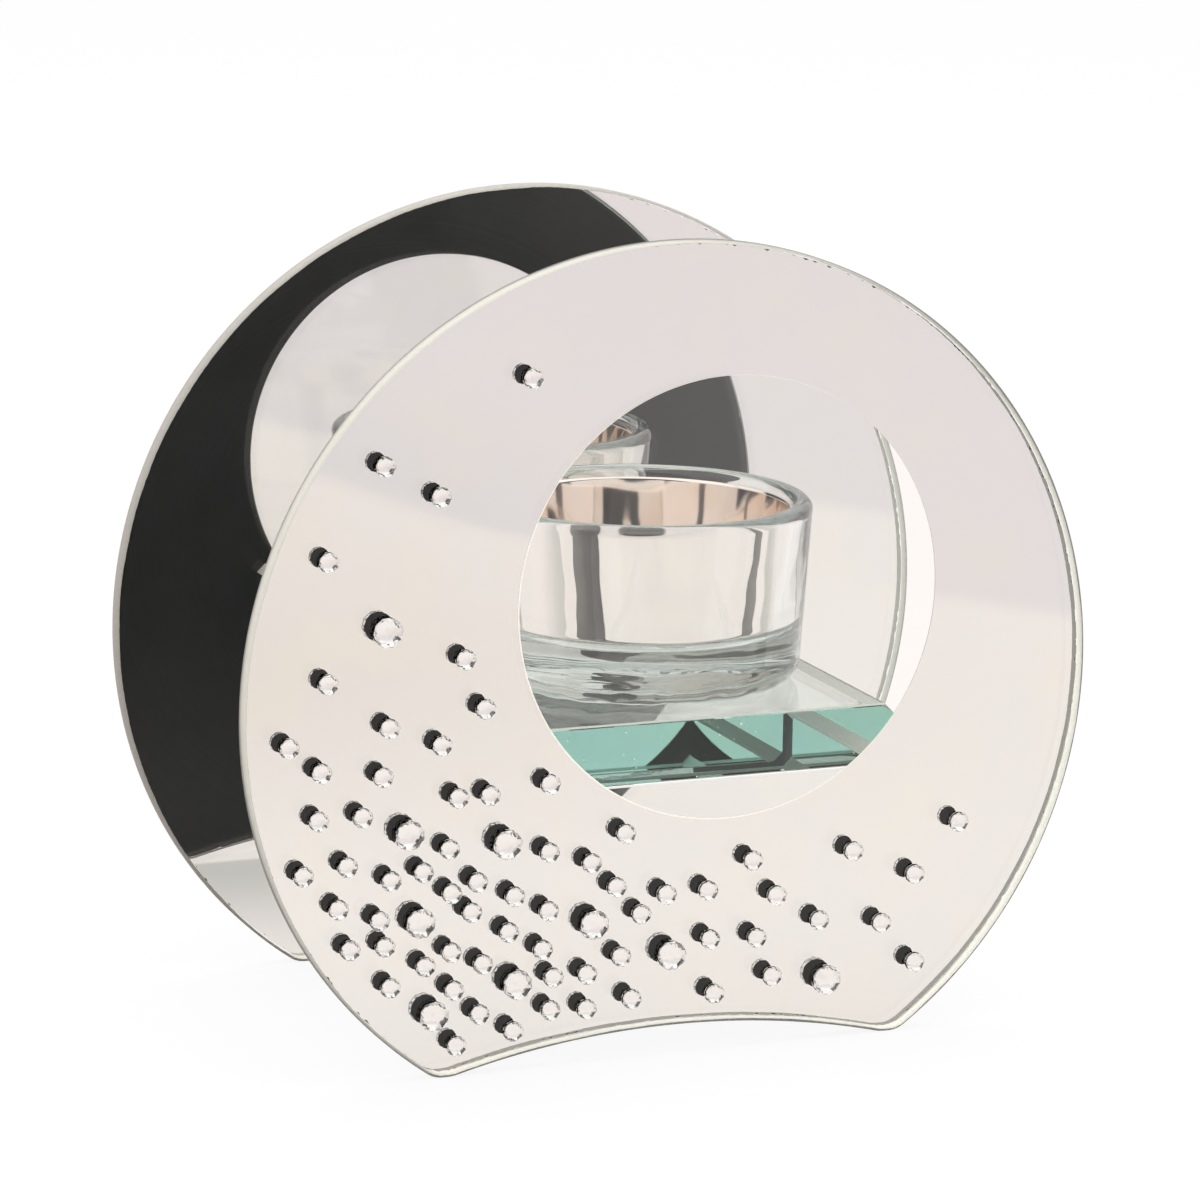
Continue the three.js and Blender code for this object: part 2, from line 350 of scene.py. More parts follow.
def make_floor():
    mesh = bpy.data.meshes.new("studio_floor")
    signs = ((-1, -1), (1, -1), (1, 1), (-1, 1))
    mesh.from_pydata([(x * FLOOR_HALF, y * FLOOR_HALF, 0) for x, y in signs], [], [(0, 1, 2, 3)])
    mesh.materials.append(paper_material())
    floor = bpy.data.objects.new("studio_floor", mesh)
    floor.location.z = -FLOOR_DROP
    scene.collection.objects.link(floor)
    return floor


floor = make_floor()
print("floor edge to edge:", round(floor.dimensions.x, 2), "m")

# %% [markdown]
# Nearly every flat piece here is a plate that stands upright: an outline, perhaps a hole, and a front
# and a back. A cube with modifiers can't hold a window or a chipped edge, so the plates are built
# from their outlines. The side is a stack of rings. The two flat faces are filled by a constrained
# triangulation, which keeps every outline given to it as edges. That also lets a part of a face be
# marked, and the glass uses such marks to know where it is ground and where it is bonded.

# %% Plates from outlines
# Ground zones are marked this much more strongly, so they glow brighter: a painted highlight.
BRIGHT_CRESCENT_MARK = 2.0


def finish_piece(name, bm, *materials):
    """Turns the faces outwards and makes them a piece with these materials."""
    bmesh.ops.recalc_face_normals(bm, faces=bm.faces)
    mesh = bpy.data.meshes.new(name)
    bm.to_mesh(mesh)
    bm.free()
    for material in materials:
        mesh.materials.append(material)
    piece = bpy.data.objects.new(name, mesh)
    scene.collection.objects.link(piece)
    return piece


def add_band(bm, lower, upper, slot=0, smooth=False):
    """Joins two rings of vertices and returns the faces. Where a ring has fewer points than the
    other, some faces are triangles."""
    count = max(len(lower), len(upper))
    faces = []
    for i in range(count):
        j = (i + 1) % count
        ids = [(lower, i), (lower, j), (upper, j), (upper, i)]
        corners = [ring[k * len(ring) // count] for ring, k in ids]
        face = bm.faces.new(list(dict.fromkeys(corners)))
        face.material_index = slot
        face.smooth = smooth
        faces.append(face)
    return faces


def zone_rules(loops, zones):
    """Adds the zones' loops to the list. Says by number which ones a zone is inside and outside of."""
    rules = []
    for mark, inside, outside in zones:
        for loop in (*inside, *outside):
            if not any(loop is other for other in loops):
                loops.append(loop)
        needed, barred = (
            {i for i, other in enumerate(loops) if any(other is loop for loop in group)}
            for group in (inside, outside)
        )
        rules.append((mark, needed, barred))
    return rules


def triangles_of_face(outline, holes, zones):
    """Fills an outline less its holes. Returns the points, which given point each one is, the
    triangles, and the marks that each triangle gets from the zones it lies in."""
    loops = [outline, *holes]
    rules = zone_rules(loops, zones)
    points = [Vector(p) / MM for loop in loops for p in loop]
    corners, start = [], 0
    for loop in loops:
        corners.append(list(range(start, start + len(loop))))
        start += len(loop)
    flat, _, triangles, given, _, owners = delaunay_2d_cdt(points, [], corners, 1, 1e-6)
    hole_ids = set(range(1, 1 + len(holes)))
    kept, marks = [], []
    for triangle, owner in zip(triangles, map(set, owners)):
        if 0 in owner and not hole_ids & owner:
            kept.append(triangle)
            marks.append({m for m, needed, barred in rules if needed <= owner and not barred & owner})
    return [p * MM for p in flat], given, kept, marks


def plate(name, material, rings, holes=(), front_zones=(), back_zones=(), ground=None):
    """Builds a closed upright plate. rings are (outline, y) from front to back with matching points.
    A zone is (mark, loops it lies inside of, loops it lies outside of), and ground(ring, segment) says
    which side faces are ground. A ground zone is marked more strongly, so that it glows brighter from
    within the glass: a painted highlight."""
    bm = bmesh.new()
    ground_mark = bm.faces.layers.float.new("ground")
    bonded_mark = bm.faces.layers.float.new("bonded")
    sides = [[bm.verts.new((p[0], y, p[1])) for p in outline] for outline, y in rings]
    for ring in range(len(rings) - 1):
        for i, face in enumerate(add_band(bm, sides[ring], sides[ring + 1], smooth=True)):
            face[ground_mark] = float(ground(ring, i)) if ground else 0.0
    hole_sides = []
    for hole in holes:
        walls = [[bm.verts.new((p[0], rings[k][1], p[1])) for p in hole] for k in (0, -1)]
        for i in range(len(hole)):
            j = (i + 1) % len(hole)
            bm.faces.new((walls[0][i], walls[1][i], walls[1][j], walls[0][j])).smooth = True
        hole_sides.append(walls)
    for end, zones in ((0, front_zones), (-1, back_zones)):
        shared = sides[end] + [v for walls in hole_sides for v in walls[end]]
        points, given, triangles, marks = triangles_of_face(rings[end][0], holes, zones)
        verts = []
        for point, ids in zip(points, given):
            old = [i for i in ids if i < len(shared)]
            verts.append(shared[old[0]] if old else bm.verts.new((point[0], rings[end][1], point[1])))
        for triangle, names in zip(triangles, marks):
            order = triangle if end == 0 else reversed(triangle)
            face = bm.faces.new([verts[i] for i in order])
            face[bonded_mark] = float("bonded" in names)
            face[ground_mark] = BRIGHT_CRESCENT_MARK * ("ground" in names)
    return finish_piece(name, bm, material)


def circle(centre, radius, steps):
    turn = 2 * math.pi / steps
    return [
        (centre[0] + radius * math.cos(i * turn), centre[1] + radius * math.sin(i * turn))
        for i in range(steps)
    ]


def chamfered(low, high, cut):
    """Anticlockwise points of a rectangle whose corners are cut off."""
    return [
        Vector(p) for p in (
            (low.x + cut, low.z), (high.x - cut, low.z), (high.x, low.z + cut), (high.x, high.z - cut),
            (high.x - cut, high.z), (low.x + cut, high.z), (low.x, high.z - cut), (low.x, low.z + cut),
        )
    ]


def flaws(piece):
    """Counts the edges of a mesh that don't have exactly two faces."""
    bm = bmesh.new()
    bm.from_mesh(piece.data)
    open_edges = sum(len(edge.link_faces) != 2 for edge in bm.edges)
    bm.free()
    return open_edges


print("plate builder is ready")

# %% [markdown]
# The outline of a pane runs round the disc and back along the arch. The corners between them are
# rubbed round on the real glass, because a sharp glass corner chips, so each corner is replaced by a
# short curve. Everything cut to the pane, such as its coats, is this same outline drawn inwards.

# %% Outline of a pane
RIM_STEPS = 1100
ARCH_STEPS = 240
TIP_ROUND = 1.5 * MM
LAND_ROUND = 0.9 * MM


def arc(centre, radius, start, end, steps):
    x, y = centre
    angles = [start + (end - start) * i / steps for i in range(steps + 1)]
    return [Vector((x + radius * math.cos(a), y + radius * math.sin(a))) for a in angles]


def rounded(before, corner, after, reach, steps=8):
    """Points of a curve that leaves the line from before to corner, and joins the line to after."""
    first = corner + (before - corner).normalized() * reach
    last = corner + (after - corner).normalized() * reach
    shares = [i / steps for i in range(steps + 1)]
    return [first * (1 - t) ** 2 + corner * 2 * t * (1 - t) + last * t ** 2 for t in shares]


def pane_outline():
    """Anticlockwise points from the right tip over the top to the left tip and along the arch."""
    tip_x = math.sqrt(DISC_RADIUS ** 2 - DISC_CENTRE.y ** 2)
    land_x = tip_x - LAND_WIDTH
    arch_radius = (land_x ** 2 + ARCH_RISE ** 2) / (2 * ARCH_RISE)
    arch_centre = Vector((0.0, ARCH_RISE - arch_radius))
    rim_start = math.atan2(-DISC_CENTRE.y, tip_x)
    arch_start = math.atan2(-arch_centre.y, land_x)
    rim = arc(DISC_CENTRE, DISC_RADIUS, rim_start, math.pi - rim_start, RIM_STEPS)
    arch = arc(arch_centre, arch_radius, math.pi - arch_start, arch_start, ARCH_STEPS)
    rim_skip = math.ceil(TIP_ROUND / (rim[0] - rim[1]).length)
    arch_skip = math.ceil(LAND_ROUND / (arch[0] - arch[1]).length)
    rim_part, arch_part = rim[rim_skip:-rim_skip], arch[arch_skip:-arch_skip]
    left_tip = rounded(rim_part[-1], rim[-1], arch[0], TIP_ROUND)
    left_land = rounded(rim[-1], arch[0], arch_part[0], LAND_ROUND)
    right_land = rounded(arch_part[-1], arch[-1], rim[0], LAND_ROUND)
    right_tip = rounded(arch[-1], rim[0], rim_part[0], TIP_ROUND)
    return rim_part + left_tip + left_land + arch_part + right_land + right_tip


def drawn_in(outline, insets):
    """Moves each point of an anticlockwise outline inwards by its own distance."""
    moved = []
    for i, point in enumerate(outline):
        along = outline[(i + 1) % len(outline)] - outline[i - 1]
        inwards = Vector((-along.y, along.x)).normalized()
        moved.append(point + inwards * insets[i])
    return moved


def wavering(outline, seed, size, amount):
    """A smooth random value for each point of an outline, from -amount to amount."""
    return [amount * noise.noise(Vector((p[0] / size, p[1] / size, seed))) for p in outline]


OUTLINE = pane_outline()
print("pane outline points:", len(OUTLINE))

# %% [markdown]
# Float glass looks clear through its face and green through its depth, because iron in it absorbs a
# little red and blue for every millimetre. A tinted surface can't do that, so the colour here is an
# absorption inside the solid, and 3 mm panes and the 67 mm deep shelf take one and the same glass.
# Ground edges are satin: they throw most light back and let a little through. On the real piece the
# silver beside them feeds them light, which isn't traced here. A painted glow stands in for it on the
# side that the room lights, and painted shade darkens their colour where they turn away. That painted
# glow is all that sets the three float glasses apart. Where two pieces are bonded there is no air
# between them, and light goes straight on, so the marked faces are transparent. Rays from lamps also
# pass straight through: bending them would take far more samples.

# %% Glass
FLOAT_IOR, CUP_IOR = 1.52, 1.51
FLOAT_TINT = (0.0, 0.639, 0.558, 1.0)
FLOAT_DENSITY = 7.06
FLOAT_WAVES = (25.0, 0.002 * MM)
CUP_TINT = (0.42, 0.5, 0.46, 1.0)
CUP_DENSITY = 15.0
CUP_WAVES = (160.0, 0.03 * MM)
GROUND_DARK = (0.88, 0.815, 0.735, 1.0)
GROUND_LIGHT = (0.98, 0.91, 0.825, 1.0)
GROUND_SHARE = 0.85
GLOW_SIDE = (-0.62, -0.68, 0.4)
AWAY_GLOW, LIT_GLOW = 0.03, 0.47
AWAY_SHADE = 0.72
THROUGH_SHARE = 0.15


def satin_finish(tree, grit, edge_glow, inner_glow):
    """Ground glass: most of the light is scattered back, and a little is scattered through. It also
    carries painted light: a glow where it faces the lit side, and painted shade on its colour where it
    turns away.
    """
    colour = blend_colour(tree, remap(tree, grit, 0.3, 0.7), GROUND_DARK, GROUND_LIGHT)
    surface = node(tree, "ShaderNodeNewGeometry")
    # Painted light: the glow follows the side the room lights, and the colour is painted darker where
    # the face turns away.
    lit = alignment(tree, surface.outputs["Normal"], GLOW_SIDE)
    painted_glow = remap(tree, lit, 0.4, 0.88, AWAY_GLOW * edge_glow, LIT_GLOW * edge_glow)
    painted_shade = remap(tree, lit, 0.35, 0.72, AWAY_SHADE * edge_glow, 0.0)
    painted_shade_colour = blend_colour(tree, painted_shade, colour, grey(0.0))
    inner_painted_glow = maths(tree, "MULTIPLY", surface.outputs["Backfacing"], inner_glow)
    back = node(tree, "ShaderNodeBsdfPrincipled", {
        "Base Color": painted_shade_colour,
        "Roughness": 0.5,
        "Emission Color": colour,
        "Emission Strength": maths(tree, "ADD", painted_glow, inner_painted_glow),
    })
    through = node(tree, "ShaderNodeBsdfTranslucent", {"Color": painted_shade_colour})
    return blend_shader(tree, THROUGH_SHARE, back.outputs[0], through.outputs[0])


def glass_finish(name, ior, tint, density, shadow, waves, edge_glow=0.0, inner_glow=0.0):
    """waves is the scale and the height of the faint waves on the surface, and shadow the colour of
    the light that reaches matt surfaces through the glass. The two glows are those of a ground
    edge, seen from outside and through the glass."""
    material, tree = new_material(name)
    place = object_place(tree)
    height = mottle(tree, place, waves[0], 1.0)
    bump = node(tree, "ShaderNodeBump", {"Height": height, "Strength": 1.0, "Distance": waves[1]})
    ground = node(tree, "ShaderNodeAttribute", attribute_name="ground").outputs["Fac"]
    grit = mottle(tree, place, 1800.0)
    grain = remap(tree, grit, 0.3, 0.7, 0.3, 0.54)
    glass = node(tree, "ShaderNodeBsdfPrincipled", {
        "Base Color": grey(1.0),
        "Roughness": maths(tree, "MULTIPLY", ground, grain),
        "IOR": ior,
        "Transmission Weight": 1.0,
        "Normal": bump.outputs[0],
    })
    straight = node(tree, "ShaderNodeBsdfTransparent", {"Color": shadow})
    rays = node(tree, "ShaderNodeLightPath").outputs
    for_light = maths(tree, "MAXIMUM", rays["Is Shadow Ray"], rays["Is Diffuse Ray"])
    clear = blend_shader(tree, for_light, glass.outputs[0], straight.outputs[0])
    through = node(tree, "ShaderNodeBsdfTransparent", {"Color": grey(1.0)})
    bonded = node(tree, "ShaderNodeAttribute", attribute_name="bonded").outputs["Fac"]
    ground_share = maths(tree, "MULTIPLY", ground, GROUND_SHARE)
    satin = satin_finish(tree, grit, edge_glow, maths(tree, "MULTIPLY", ground, inner_glow))
    unbonded = blend_shader(tree, ground_share, clear, satin)
    surface = blend_shader(tree, bonded, unbonded, through.outputs[0])
    inside = node(tree, "ShaderNodeVolumeAbsorption", {"Color": tint, "Density": density})
    finish_material(tree, surface, Volume=inside.outputs[0])
    return material


def float_finish(name, *glows):
    shadow = (0.94, 0.97, 0.96, 1.0)
    return glass_finish(name, FLOAT_IOR, FLOAT_TINT, FLOAT_DENSITY, shadow, FLOAT_WAVES, *glows)


front_glass = float_finish("front_float_glass", 1.0, 0.35)
rear_glass = float_finish("rear_float_glass", 0.15, 0.45)
shelf_glass = float_finish("shelf_float_glass", 0.4, 0.1)
cup_shadow = (0.95, 0.96, 0.96, 1.0)
cup_glass = glass_finish("pressed_cup_glass", CUP_IOR, CUP_TINT, CUP_DENSITY, cup_shadow, CUP_WAVES)
print("glass:", front_glass.name, rear_glass.name, shelf_glass.name, cup_glass.name)

# %% [markdown]
# The silver behind the glass is the mirror. Its colour is a slightly warm grey, since silver and glass
# return about nine tenths of the light. Faint warm clouds keep it from being the same everywhere, as
# on real mirror glass that has been cut and handled.

# %% Silver
def silver_finish(name, colour, cloud_colour, roughness, cloud_scale):
    material, tree = new_material(name)
    clouds = mottle(tree, object_place(tree), cloud_scale, 4.0)
    share = remap(tree, clouds, 0.42, 0.72, smooth=True)
    metal = node(tree, "ShaderNodeBsdfPrincipled", {
        "Base Color": blend_colour(tree, share, colour, cloud_colour),
        "Metallic": 1.0,
        "Roughness": roughness,
    })
    finish_material(tree, metal.outputs[0])
    return material


mirror_colours = ((0.885, 0.862, 0.852, 1), (0.9, 0.868, 0.83, 1))
mirror_silver = silver_finish("mirror_silver", *mirror_colours, 0.0, 70.0)
print("silver:", mirror_silver.name)

# %% [markdown]
# Black paint protects the silver. It is satin and was laid on in turning strokes, so its shine is
# drawn out round the disc. An anisotropic shader with a tangent that circles the Y axis gives that.
# A fine streaky noise along the circles breaks it up, and slow patches make it uneven.

# %% Black paint
PAINT_DARK = (0.036, 0.0368, 0.0374, 1)
PAINT_LIGHT = (0.0585, 0.0602, 0.0612, 1)


def paint_finish():
    material, tree = new_material("black_backing_paint")
    place = object_place(tree)
    axes = node(tree, "ShaderNodeSeparateXYZ", {0: place})
    across = node(tree, "ShaderNodeCombineXYZ", {
        "X": axes.outputs["X"],
        "Y": maths(tree, "SUBTRACT", axes.outputs["Z"], DISC_CENTRE.y),
    })
    radius = node(tree, "ShaderNodeVectorMath", {0: across.outputs[0]}, operation="LENGTH")
    rings = node(tree, "ShaderNodeCombineXYZ", {"X": radius.outputs["Value"]})
    streaks = mottle(tree, rings.outputs[0], 2600.0, 3.0)
    patches = mottle(tree, place, 45.0, 3.0)
    tone = remap(tree, maths(tree, "ADD", streaks, patches), 0.7, 1.3)
    bump = node(tree, "ShaderNodeBump", {"Height": streaks, "Strength": 0.5, "Distance": 0.00002})
    paint = node(tree, "ShaderNodeBsdfPrincipled", {
        "Base Color": blend_colour(tree, tone, PAINT_DARK, PAINT_LIGHT),
        "Roughness": remap(tree, patches, 0.3, 0.7, 0.3, 0.42),
        "Anisotropic": 0.7,
        "Tangent": node(tree, "ShaderNodeTangent", direction_type="RADIAL", axis="Y").outputs[0],
        "Normal": bump.outputs[0],
    })
    finish_material(tree, paint.outputs[0])
    return material


black_paint = paint_finish()
print("paint:", black_paint.name)

# %% [markdown]
# The stones come last, but the front pane has to know where they sit: glue bonds each one to the
# glass, and a bonded face doesn't reflect. The frame holds the seats of most stones. The swarm on the
# left has more small ones, and their places are given here in disc radii, across from the middle of
# the disc and up from the ground.

# %% Seats of the stones
GLUE_SPREAD = 1.07
MORE_PLACES = [
    (-0.593, 0.473), (-0.667, 0.46), (-0.467, 0.44), (-0.38, 0.4), (-0.527, 0.42), (-0.693, 0.373),
    (-0.48, 0.373), (-0.3, 0.36), (-0.08, 0.333), (-0.393, 0.32), (-0.68, 0.313), (-0.527, 0.287),
    (-0.313, 0.273), (-0.127, 0.24), (-0.587, 0.26), (-0.453, 0.253), (-0.287, 0.207), (-0.207, 0.207),
    (-0.667, 0.22), (-0.52, 0.2), (-0.293, 0.133), (-0.207, 0.127), (-0.1, 0.14), (-0.46, 0.14),
    (-0.38, 0.093), (-0.513, 0.073),
]


def seats_of_stones():
    """The middle of each stone's back, its radius and its height, by name."""
    seats = {}
    for name in sorted(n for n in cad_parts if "_crystal_" in n):
        low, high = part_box(name)
        middle = (low + high) / 2
        seats[name] = (Vector((middle.x, high.y, middle.z)), (high.x - low.x) / 2, high.y - low.y)
    like, radius, height = seats["small_crystal_01"]
    for number, (across, up) in enumerate(MORE_PLACES, start=41):
        place = Vector((across * DISC_RADIUS, like.y, up * DISC_RADIUS))
        seats[f"small_stone_{number:02d}"] = (place, radius, height)
    return seats


stone_seats = seats_of_stones()
print("stones:", len(stone_seats))

# %% [markdown]
# The two panes are the same cut. Each side edge is a stack of four rings: a small bevel, called an
# arris, then the flat rim, then the other arris. A grinding belt made them, so they are satin, and the
# width of the arris wavers a little. The pane's flat faces stay exactly flat, because a mirror shows
# every fault in them. Only marks are laid on them: the pads of glue under the stones, the ends of the
# shelf, and a thin crescent at the window's left edge. The crescent is marked as ground glass, and more
# strongly, so it glows: a painted highlight for the bright line along that edge.

# %% Panes
ARRIS_WAVER = 0.12 * MM
WINDOW_CRESCENT = 0.22 * MM


def pane_rings(low, high, seed):
    """The four outlines of a pane from front to back, with the y of each."""
    faces = []
    for side_seed in (seed, seed + 1):
        waver = wavering(OUTLINE, side_seed, 9 * MM, ARRIS_WAVER)
        grit = wavering(OUTLINE, side_seed + 5, 0.9 * MM, ARRIS_WAVER / 2)
        faces.append(drawn_in(OUTLINE, [PANE_ARRIS + a + b for a, b in zip(waver, grit)]))
    rims = [(OUTLINE, low.y + PANE_ARRIS), (OUTLINE, high.y - PANE_ARRIS)]
    return [(faces[0], low.y), *rims, (faces[1], high.y)]


def make_pane(name, glass, box, seed, front_zones=(), back_zones=()):
    rings = pane_rings(*box, seed)
    return plate(name, glass, rings, (), front_zones, back_zones, lambda ring, segment: True)


window_ring = circle(WINDOW_CENTRE, WINDOW_RADIUS, 360)
# The crescent between the window and this ring is a painted highlight: it glows as ground glass.
clear_centre = WINDOW_CENTRE + Vector((0.45, 0.25)) * WINDOW_CRESCENT
clear_ring = circle(clear_centre, WINDOW_RADIUS - WINDOW_CRESCENT * 0.55, 360)
shelf_inset = Vector((0, 0, SHELF_ARRIS))
shelf_end = chamfered(shelf_low + shelf_inset, shelf_high - shelf_inset, SHELF_BEVEL)
stone_pads = [
    ("bonded", [circle((seat.x, seat.z), radius * GLUE_SPREAD, 24)], [])
    for seat, radius, height in stone_seats.values()
]
window_zones = [("bonded", [shelf_end, clear_ring], []), ("ground", [window_ring], [clear_ring])]
shelf_zones = [("bonded", [shelf_end], [])]
front_box, rear_box = (front_low, front_high), (rear_low, rear_high)
front_pane = make_pane("front_mirror_pane", front_glass, front_box, 11, stone_pads, window_zones)
rear_pane = make_pane("rear_mirror_pane", rear_glass, rear_box, 23, shelf_zones)
for pane in (front_pane, rear_pane):
    print(pane.name, len(pane.data.polygons), "faces, open edges:", flaws(pane))

# %% [markdown]
# The silver stops short of the ground edge, because the belt that ground the edge also took the coat
# off there. It tore the coat in tiny bites. The bites are made by drawing the outline in by a steady
# margin, plus a slow waver, plus a seeded random bite here and there. The paint over it is cut a
# little further in, and less so towards the right, where it shows in the deepest bites. Round the
# window the paint's opening is slightly wider than the silver's, so that no black shows there.

# %% Silver and paint
COAT_MARGIN = 0.6 * MM
PAINT_MARGIN = 0.7 * MM
PAINT_FRINGE = 0.05 * MM
COAT_WAVER = 0.06 * MM
WINDOW_LIP = 0.06 * MM


def bitten(outline, margin, seed, bite_chance, bite_depth):
    """The outline drawn in by a margin, with random bites a few points wide."""
    dice = random.Random(seed)
    slow = wavering(outline, seed, 6 * MM, COAT_WAVER)
    bites = [0.0] * len(outline)
    for i in range(len(outline)):
        if dice.random() < bite_chance:
            depth = dice.uniform(0.2, 1.0) * bite_depth
            for step, share in ((-1, 0.5), (0, 1.0), (1, 0.6)):
                j = (i + step) % len(outline)
                bites[j] = max(bites[j], depth * share)
    return drawn_in(outline, [margin + a + b for a, b in zip(slow, bites)])


def make_coat(name, node_name, material, outline, *holes):
    low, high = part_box(node_name)
    return plate(name, material, [(outline, low.y), (outline, high.y)], holes)


to_right = [min(1, max(0, (p[0] - 5 * MM) / (20 * MM))) for p in OUTLINE]
fringe = [PAINT_MARGIN - PAINT_FRINGE * share for share in to_right]
silver_outline = bitten(OUTLINE, COAT_MARGIN, 31, 0.16, 0.4 * MM)
paint_outline = bitten(drawn_in(OUTLINE, fringe), 0.0, 37, 0.05, 0.2 * MM)
rear_silver_outline = bitten(OUTLINE, COAT_MARGIN, 41, 0.12, 0.35 * MM)
rear_paint_outline = bitten(OUTLINE, PAINT_MARGIN, 43, 0.05, 0.2 * MM)
paint_hole = circle(WINDOW_CENTRE, WINDOW_RADIUS + WINDOW_LIP, 360)
front_silver = make_coat(
    "front_mirror_silver", "front_silver_coat", mirror_silver, silver_outline, window_ring,
)
front_paint = make_coat(
    "front_backing_paint", "front_black_paint", black_paint, paint_outline, paint_hole,
)
rear_silver = make_coat("rear_mirror_silver", "rear_silver_coat", mirror_silver, rear_silver_outline)
rear_paint = make_coat("rear_backing_paint", "rear_black_paint", black_paint, rear_paint_outline)
for coat in (front_silver, front_paint, rear_silver, rear_paint):
    print(coat.name, len(coat.data.polygons), "faces, open edges:", flaws(coat))

# %% [markdown]
# The shelf is a square cut from thick float glass. Its big faces are polished. Its two free sides are
# ground to a bevel at the top and at the bottom, and its bonded ends have a narrow ground arris along
# the top and the bottom, which shows as a pale line. A box with a bevel modifier would have the
# shape, but not the marks on it.

# %% Shelf block
def shelf_ground(ring, segment):
    """The four bevels along the sides, and the arrises at both ends along the top and the bottom."""
    return segment % 2 == 1 or (ring != 1 and segment % 4 == 0)


shelf_side = chamfered(shelf_low, shelf_high, SHELF_BEVEL)
shelf_rings = [
    (shelf_end, shelf_low.y),
    (shelf_side, shelf_low.y + SHELF_ARRIS),
    (shelf_side, shelf_high.y - SHELF_ARRIS),
    (shelf_end, shelf_high.y),
]
shelf_marks = (shelf_zones, shelf_zones, shelf_ground)
shelf = plate("shelf_glass_block", shelf_glass, shelf_rings, (), *shelf_marks)
shelf.data.polygons.foreach_set("use_smooth", [False] * len(shelf.data.polygons))
print(shelf.name, "open edges:", flaws(shelf), "mm:", [round(v / MM, 2) for v in shelf.dimensions])

# %% [markdown]
# Clear glue fills the joint at each end of the shelf. Its own colour can't be seen, but a few fine
# bubbles and specks in it can. The film is fully transparent except for small round spots, which a
# Voronoi texture scatters and a noise makes unequal, and which glow a little: painted light. At the
# front a little glue was pressed out below the shelf, and it shows as a bright line, so all of that
# film below the shelf's foot is painted white and glows: a painted highlight.

# %% Glue films
FILM_CORNER = 0.6 * MM
COAT_GAP = 0.05 * MM
BEAD_DROP = 0.35 * MM
SPECK_AND_BEAD_GLOW = 0.55
BEAD_DARK = (0.86, 0.84, 0.82, 1.0)
BEAD_LIGHT = (1.0, 0.98, 0.96, 1.0)


def film_finish():
    material, tree = new_material("clear_bond_glue")
    place = object_place(tree)
    cells = node(tree, "ShaderNodeTexVoronoi", {"Vector": place, "Scale": 800.0})
    reach = remap(tree, mottle(tree, cells.outputs["Position"], 900.0), 0.55, 0.75, 0.0, 0.16)
    spot = maths(tree, "LESS_THAN", cells.outputs["Distance"], reach)
    clear = node(tree, "ShaderNodeBsdfTransparent", {"Color": grey(1.0)})
    tone = blend_colour(tree, mottle(tree, place, 2500.0), BEAD_DARK, BEAD_LIGHT)
    # The specks and the bead glow: painted light for their bright look.
    glowing_speck = node(tree, "ShaderNodeBsdfPrincipled", {
        "Base Color": tone,
        "Roughness": 0.5,
        "Emission Color": tone,
        "Emission Strength": SPECK_AND_BEAD_GLOW,
    })
    height = node(tree, "ShaderNodeSeparateXYZ", {0: place}).outputs["Z"]
    # Below the shelf's foot the film is white and glowing: a painted highlight.
    highlight_bead = maths(tree, "LESS_THAN", height, shelf_low.z)
    solid = maths(tree, "MAXIMUM", spot, highlight_bead)
    finish_material(tree, blend_shader(tree, solid, clear.outputs[0], glowing_speck.outputs[0]))
    return material


def make_film(name, node_name, front_y, back_y, foot):
    """foot is the height of the film's lower edge."""
    low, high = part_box(node_name)
    outline = chamfered(Vector((low.x, 0, foot)), Vector((high.x, 0, high.z)), FILM_CORNER)
    return plate(name, bond_glue, [(outline, front_y), (outline, back_y)])


bond_glue = film_finish()
front_paint_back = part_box("front_black_paint")[1].y
bead_foot = shelf_low.z - BEAD_DROP
rear_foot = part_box("rear_bond_film")[0].z
front_ends = (front_paint_back + COAT_GAP, shelf_low.y - COAT_GAP)
rear_ends = (shelf_high.y + COAT_GAP, rear_low.y - COAT_GAP)
front_film = make_film("front_glue_film", "front_bond_film", *front_ends, bead_foot)
rear_film = make_film("rear_glue_film", "rear_bond_film", *rear_ends, rear_foot)
for film in (front_film, rear_film):
    print(film.name, "open edges:", flaws(film))

# %% [markdown]
# The cup was pressed from soft glass in a mould, so it is round and has no sharp edge. Half of
# its profile turned about an axis gives it. A Screw modifier could turn it, but a loop also allows the
# faint waves that pressed glass keeps where it touched the cold mould.

# %% Cup profile
CUP_HEIGHT = cup_high.z - cup_low.z
CUP_RIM_RADIUS = (cup_high.x - cup_low.x) / 2
CUP_BASE_RADIUS = 27.75 * MM
CUP_BASE_CORNER = 4 * MM
CUP_FOOT_RING = 4 * MM
CUP_FOOT_RECESS = 0.7 * MM
CUP_LIP_RADIUS = 1.85 * MM
CUP_LIP_TURN = math.radians(10)
CUP_FLOOR_HEIGHT = 9 * MM
CUP_FLOOR_RADIUS = 23.6 * MM
CUP_FLOOR_FILLET = 2.4 * MM
FIRST_STEP = 0.03
LINING_BELOW_RIM = 1.9 * MM
LINING_THICKNESS = 0.15 * MM


def cup_outside():
    foot_outer = CUP_BASE_RADIUS - CUP_BASE_CORNER
    foot_inner = foot_outer - CUP_FOOT_RING
    recess = Vector((foot_inner - CUP_FOOT_RECESS, CUP_FOOT_RECESS))
    points = [Vector((recess.x * i / 8, recess.y)) for i in range(9)]
    points += rounded(points[-1], Vector((foot_inner, 0)), Vector((foot_outer, 0)), 0.5 * MM, 4)
    points += arc((foot_outer, CUP_BASE_CORNER), CUP_BASE_CORNER, -math.pi / 2, 0, 12)
    lip = (CUP_RIM_RADIUS - CUP_LIP_RADIUS, CUP_HEIGHT - CUP_LIP_RADIUS)
    lip_arc = arc(lip, CUP_LIP_RADIUS, -CUP_LIP_TURN, math.pi, 28)
    wall = [points[-1].lerp(lip_arc[0], i / 12) for i in range(1, 12)]
    return points + wall + lip_arc


